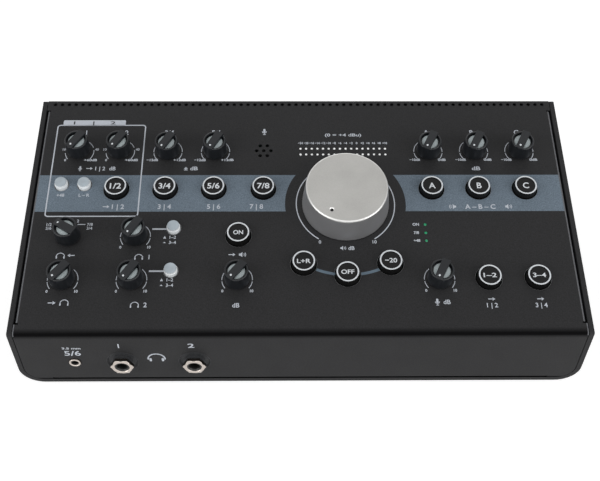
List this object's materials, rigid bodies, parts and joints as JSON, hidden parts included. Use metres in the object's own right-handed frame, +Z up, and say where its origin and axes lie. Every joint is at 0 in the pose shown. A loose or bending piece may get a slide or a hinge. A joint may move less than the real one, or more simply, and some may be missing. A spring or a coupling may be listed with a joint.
{
  "type": "studio monitor controller",
  "caption": "Wedge-shaped desktop monitor controller with a big volume knob, small knobs, ringed keys, a lamp meter and front and rear sockets.",
  "frame": {"origin": "on the surface that the feet stand on, under the middle of the overall box", "axes": "+Z up, +X to the right as seen from the front, +Y to the rear; the front face looks along -Y"},
  "size_m": [0.373, 0.1902, 0.1018],
  "materials": {
    "case_paint": "satin, finely textured black powder coat",
    "rear_paint": "satin black powder coat",
    "rubber": "matt rubber",
    "turned_aluminium": "fine bead-blasted, polished bevel",
    "steel": "turned",
    "nickel": "nickel plate",
    "knob_black": "matt black, light grey insert",
    "key_black": "matt black with a white ring",
    "cap_grey": "light grey",
    "socket_black": "black moulding",
    "component": "moulded component",
    "board_green": "circuit board",
    "meter_lens": "clear white lens",
    "status_lens": "green lens",
    "mic_metal": "microphone capsule"
  },
  "bodies": {
    "case": {"bottom_shell": "case_paint", "top_cover": "case_paint", "rear_panel": "rear_paint", "feet": "rubber", "volume_pot": "component", "bushing_nuts": "nickel", "knob_pots": "component", "source_switch": "component", "key_switches": "component", "latch_switches": "component", "meter_lamps": "meter_lens", "status_lamps": "status_lens", "talkback_mic": "mic_metal", "control_board": "board_green", "rear_board": "board_green", "phones_board": "board_green", "board_posts": "steel", "phone_jack_1": "socket_black", "phone_jack_2": "socket_black", "stereo_in_jack": "nickel", "line_jacks": "socket_black", "combo_input_1": "socket_black", "combo_input_2": "socket_black", "usb_socket": "nickel", "dc_inlet": "socket_black", "power_switch": "component"},
    "volume": {"volume_knob": "turned_aluminium", "volume_shaft": "steel"},
    "gain_knob_1": {"gain_knob_1": "knob_black"},
    "gain_knob_2": {"gain_knob_2": "knob_black"},
    "trim_knob_3_4": {"trim_knob_3_4": "knob_black"},
    "trim_knob_5_6": {"trim_knob_5_6": "knob_black"},
    "trim_knob_a": {"trim_knob_a": "knob_black"},
    "trim_knob_b": {"trim_knob_b": "knob_black"},
    "trim_knob_c": {"trim_knob_c": "knob_black"},
    "cue_source_knob": {"cue_source_knob": "knob_black"},
    "phones_knob_1": {"phones_knob_1": "knob_black"},
    "direct_monitor_knob": {"direct_monitor_knob": "knob_black"},
    "phones_knob_2": {"phones_knob_2": "knob_black"},
    "studio_level_knob": {"studio_level_knob": "knob_black"},
    "talkback_level_knob": {"talkback_level_knob": "knob_black"},
    "key_1_2": {"key_1_2": "key_black"},
    "key_3_4": {"key_3_4": "key_black"},
    "key_5_6": {"key_5_6": "key_black"},
    "key_digital": {"key_digital": "key_black"},
    "key_a": {"key_a": "key_black"},
    "key_b": {"key_b": "key_black"},
    "key_c": {"key_c": "key_black"},
    "key_on": {"key_on": "key_black"},
    "key_mono": {"key_mono": "key_black"},
    "key_mute": {"key_mute": "key_black"},
    "key_dim": {"key_dim": "key_black"},
    "key_2tr": {"key_2tr": "key_black"},
    "key_cue": {"key_cue": "key_black"},
    "phantom_button": {"phantom_button": "cap_grey"},
    "pan_button": {"pan_button": "cap_grey"},
    "phones_button_1": {"phones_button_1": "cap_grey"},
    "phones_button_2": {"phones_button_2": "cap_grey"},
    "power_button": {"power_button": "key_black"}
  },
  "joints": [
    {"name": "volume_turn", "type": "hinge", "parent": "case", "child": "volume", "pos_m": [0.0309, 0.00526, 0.0755], "axis": [0, 0.1994, -0.9799], "range_deg": [0, 300]},
    {"name": "gain_1_turn", "type": "hinge", "parent": "case", "child": "gain_knob_1", "pos_m": [-0.1554, 0.04799, 0.08419], "axis": [0, 0.1994, -0.9799], "range_deg": [0, 300]},
    {"name": "gain_2_turn", "type": "hinge", "parent": "case", "child": "gain_knob_2", "pos_m": [-0.1267, 0.04799, 0.08419], "axis": [0, 0.1994, -0.9799], "range_deg": [0, 300]},
    {"name": "trim_3_4_turn", "type": "hinge", "parent": "case", "child": "trim_knob_3_4", "pos_m": [-0.0931, 0.04799, 0.08419], "axis": [0, 0.1994, -0.9799], "range_deg": [0, 300]},
    {"name": "trim_5_6_turn", "type": "hinge", "parent": "case", "child": "trim_knob_5_6", "pos_m": [-0.0596, 0.04799, 0.08419], "axis": [0, 0.1994, -0.9799], "range_deg": [0, 300]},
    {"name": "trim_a_turn", "type": "hinge", "parent": "case", "child": "trim_knob_a", "pos_m": [0.0908, 0.04799, 0.08419], "axis": [0, 0.1994, -0.9799], "range_deg": [0, 300]},
    {"name": "trim_b_turn", "type": "hinge", "parent": "case", "child": "trim_knob_b", "pos_m": [0.1232, 0.04799, 0.08419], "axis": [0, 0.1994, -0.9799], "range_deg": [0, 300]},
    {"name": "trim_c_turn", "type": "hinge", "parent": "case", "child": "trim_knob_c", "pos_m": [0.1555, 0.04799, 0.08419], "axis": [0, 0.1994, -0.9799], "range_deg": [0, 300]},
    {"name": "cue_source_turn", "type": "hinge", "parent": "case", "child": "cue_source_knob", "pos_m": [-0.1554, -0.02002, 0.07035], "axis": [0, 0.1994, -0.9799], "range_deg": [0, 90]},
    {"name": "phones_1_turn", "type": "hinge", "parent": "case", "child": "phones_knob_1", "pos_m": [-0.1106, -0.02002, 0.07035], "axis": [0, 0.1994, -0.9799], "range_deg": [0, 300]},
    {"name": "direct_monitor_turn", "type": "hinge", "parent": "case", "child": "direct_monitor_knob", "pos_m": [-0.1554, -0.05216, 0.06382], "axis": [0, 0.1994, -0.9799], "range_deg": [0, 300]},
    {"name": "phones_2_turn", "type": "hinge", "parent": "case", "child": "phones_knob_2", "pos_m": [-0.1106, -0.05216, 0.06382], "axis": [0, 0.1994, -0.9799], "range_deg": [0, 300]},
    {"name": "studio_level_turn", "type": "hinge", "parent": "case", "child": "studio_level_knob", "pos_m": [-0.0417, -0.05216, 0.06382], "axis": [0, 0.1994, -0.9799], "range_deg": [0, 300]},
    {"name": "talkback_level_turn", "type": "hinge", "parent": "case", "child": "talkback_level_knob", "pos_m": [0.0908, -0.05216, 0.06382], "axis": [0, 0.1994, -0.9799], "range_deg": [0, 300]},
    {"name": "key_1_2_press", "type": "slide", "parent": "case", "child": "key_1_2", "axis": [0, 0.1994, -0.9799], "range_m": [0, 0.0012], "stiffness_N_per_m": 400},
    {"name": "key_3_4_press", "type": "slide", "parent": "case", "child": "key_3_4", "axis": [0, 0.1994, -0.9799], "range_m": [0, 0.0012], "stiffness_N_per_m": 400},
    {"name": "key_5_6_press", "type": "slide", "parent": "case", "child": "key_5_6", "axis": [0, 0.1994, -0.9799], "range_m": [0, 0.0012], "stiffness_N_per_m": 400},
    {"name": "key_digital_press", "type": "slide", "parent": "case", "child": "key_digital", "axis": [0, 0.1994, -0.9799], "range_m": [0, 0.0012], "stiffness_N_per_m": 400},
    {"name": "key_a_press", "type": "slide", "parent": "case", "child": "key_a", "axis": [0, 0.1994, -0.9799], "range_m": [0, 0.0012], "stiffness_N_per_m": 400},
    {"name": "key_b_press", "type": "slide", "parent": "case", "child": "key_b", "axis": [0, 0.1994, -0.9799], "range_m": [0, 0.0012], "stiffness_N_per_m": 400},
    {"name": "key_c_press", "type": "slide", "parent": "case", "child": "key_c", "axis": [0, 0.1994, -0.9799], "range_m": [0, 0.0012], "stiffness_N_per_m": 400},
    {"name": "key_on_press", "type": "slide", "parent": "case", "child": "key_on", "axis": [0, 0.1994, -0.9799], "range_m": [0, 0.0012], "stiffness_N_per_m": 400},
    {"name": "key_mono_press", "type": "slide", "parent": "case", "child": "key_mono", "axis": [0, 0.1994, -0.9799], "range_m": [0, 0.0012], "stiffness_N_per_m": 400},
    {"name": "key_mute_press", "type": "slide", "parent": "case", "child": "key_mute", "axis": [0, 0.1994, -0.9799], "range_m": [0, 0.0012], "stiffness_N_per_m": 400},
    {"name": "key_dim_press", "type": "slide", "parent": "case", "child": "key_dim", "axis": [0, 0.1994, -0.9799], "range_m": [0, 0.0012], "stiffness_N_per_m": 400},
    {"name": "key_2tr_press", "type": "slide", "parent": "case", "child": "key_2tr", "axis": [0, 0.1994, -0.9799], "range_m": [0, 0.0012], "stiffness_N_per_m": 400},
    {"name": "key_cue_press", "type": "slide", "parent": "case", "child": "key_cue", "axis": [0, 0.1994, -0.9799], "range_m": [0, 0.0012], "stiffness_N_per_m": 400},
    {"name": "phantom_button_press", "type": "slide", "parent": "case", "child": "phantom_button", "axis": [0, 0.1994, -0.9799], "range_m": [0, 0.0018]},
    {"name": "pan_button_press", "type": "slide", "parent": "case", "child": "pan_button", "axis": [0, 0.1994, -0.9799], "range_m": [0, 0.0018]},
    {"name": "phones_button_1_press", "type": "slide", "parent": "case", "child": "phones_button_1", "axis": [0, 0.1994, -0.9799], "range_m": [0, 0.0018]},
    {"name": "phones_button_2_press", "type": "slide", "parent": "case", "child": "phones_button_2", "axis": [0, 0.1994, -0.9799], "range_m": [0, 0.0018]},
    {"name": "power_button_press", "type": "slide", "parent": "case", "child": "power_button", "axis": [0, -1, 0], "range_m": [0, 0.0024]}
  ]
}
